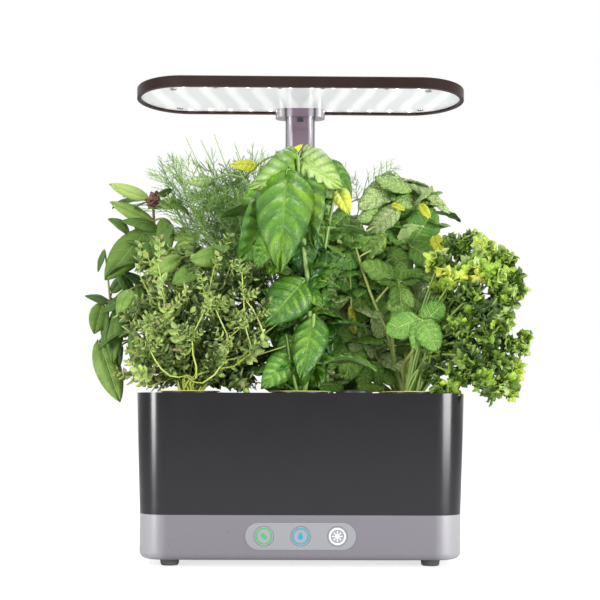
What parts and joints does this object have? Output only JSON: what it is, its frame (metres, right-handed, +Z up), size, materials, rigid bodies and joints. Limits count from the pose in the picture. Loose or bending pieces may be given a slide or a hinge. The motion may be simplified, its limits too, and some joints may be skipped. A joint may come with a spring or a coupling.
{
  "type": "countertop hydroponic garden",
  "caption": "Countertop hydroponic herb garden: water bowl on a control base, planting deck with herbs, and an LED grow light on a telescoping mast.",
  "frame": {"origin": "on the counter, under the middle of the base", "axes": "+Z up, -Y towards the front with the control panel, +X to the right seen from the front"},
  "size_m": [0.3506, 0.1775, 0.379],
  "materials": {
    "base_shell": "light warm grey, satin moulded",
    "dark_plastic": "black, fine texture",
    "bowl_shell": "dark charcoal, satin",
    "deck_plastic": "black, matt",
    "panel_plastic": "light grey, smooth",
    "button_plastic": "light grey, smooth",
    "green_mark": "green, lit",
    "cyan_mark": "cyan, lit",
    "white_mark": "white, lit",
    "rubber": "soft, matt",
    "steel": "zinc plated",
    "contact_metal": "bright",
    "circuit": "green laminate",
    "mast_finish": "smoky grey violet, glossy",
    "hood_plastic": "black, fine texture",
    "aluminium": "plain sheet",
    "reflector": "white, glossy",
    "led": "white emitters",
    "white_plastic": "white, moulded",
    "impeller_plastic": "blue, moulded",
    "float_plastic": "orange, moulded",
    "sponge": "brown growing sponge",
    "label_paper": "pale yellow",
    "thyme_leaf": "small grey green leaves",
    "basil_leaf": "broad bright green leaves",
    "parsley_leaf": "curled green leaves",
    "thai_leaf": "pointed green leaves, purple stems",
    "dill_leaf": "feathery pale green fronds",
    "mint_leaf": "toothed green leaves"
  },
  "bodies": {
    "base": {"base_housing": "base_shell", "base_cover": "dark_plastic", "cover_screws": "steel", "rubber_feet": "rubber", "control_panel": "panel_plastic", "control_board": "circuit", "board_screws": "steel", "tact_switches": "dark_plastic", "dc_jack": "dark_plastic", "jack_pin": "contact_metal", "level_switch": "dark_plastic", "pump_contacts": "contact_metal", "mast_sleeve": "mast_finish", "sleeve_screws": "steel", "mast_bush": "dark_plastic"},
    "plant_food_button": {"plant_food_button": "button_plastic", "leaf_icon": "green_mark"},
    "water_button": {"water_button": "button_plastic", "drop_icon": "cyan_mark"},
    "light_button": {"light_button": "button_plastic", "sun_icon": "white_mark"},
    "mast": {"mast_tube": "mast_finish", "mast_foot": "dark_plastic", "mast_flange": "mast_finish", "mast_latch": "dark_plastic", "flange_screws": "steel", "lamp_lead": "rubber", "hood_housing": "hood_plastic", "hood_top_cover": "hood_plastic", "hood_bracket": "steel", "heat_spreader": "aluminium", "led_boards": "white_plastic", "grow_leds": "led", "reflector_panel": "reflector", "panel_screws": "steel"},
    "bowl": {"bowl": "bowl_shell", "pump_housing": "white_plastic", "pump_cover": "white_plastic", "pump_riser": "white_plastic", "impeller_shaft": "steel", "float_guide": "white_plastic"},
    "impeller": {"impeller": "impeller_plastic"},
    "float": {"water_float": "float_plastic", "float_magnet": "steel"},
    "deck": {"grow_deck": "deck_plastic", "flap_pin": "steel", "baskets": "deck_plastic", "sponges": "sponge", "pod_labels": "label_paper", "thyme": "thyme_leaf", "genovese_basil": "basil_leaf", "parsley": "parsley_leaf", "thai_basil": "thai_leaf", "dill": "dill_leaf", "mint": "mint_leaf"},
    "fill_flap": {"fill_flap": "deck_plastic"}
  },
  "joints": [
    {"name": "mast_height", "type": "slide", "parent": "base", "child": "mast", "axis": [0, 0, 1], "range_m": [0, 0.062]},
    {"name": "plant_food_button_press", "type": "slide", "parent": "base", "child": "plant_food_button", "axis": [0, 1, 0], "range_m": [0, 0.0007], "stiffness_N_per_m": 1200, "springref_m": -0.0003},
    {"name": "water_button_press", "type": "slide", "parent": "base", "child": "water_button", "axis": [0, 1, 0], "range_m": [0, 0.0007], "stiffness_N_per_m": 1200, "springref_m": -0.0003},
    {"name": "light_button_press", "type": "slide", "parent": "base", "child": "light_button", "axis": [0, 1, 0], "range_m": [0, 0.0007], "stiffness_N_per_m": 1200, "springref_m": -0.0003},
    {"name": "bowl_slide_off", "type": "slide", "parent": "base", "child": "bowl", "axis": [0, -1, 0], "range_m": [0, 0.06]},
    {"name": "impeller_spin", "type": "hinge", "parent": "bowl", "child": "impeller", "pos_m": [0.042, 0.012, 0.045], "axis": [0, 0, 1], "continuous": true},
    {"name": "float_rise", "type": "slide", "parent": "bowl", "child": "float", "axis": [0, 0, 1], "range_m": [0, 0.042]},
    {"name": "deck_lift", "type": "slide", "parent": "bowl", "child": "deck", "axis": [0, 0, 1], "range_m": [0, 0.012]},
    {"name": "flap_hinge", "type": "hinge", "parent": "deck", "child": "fill_flap", "pos_m": [0.042, -0.014, 0.129], "axis": [-1, 0, 0], "range_deg": [0, 75]}
  ]
}
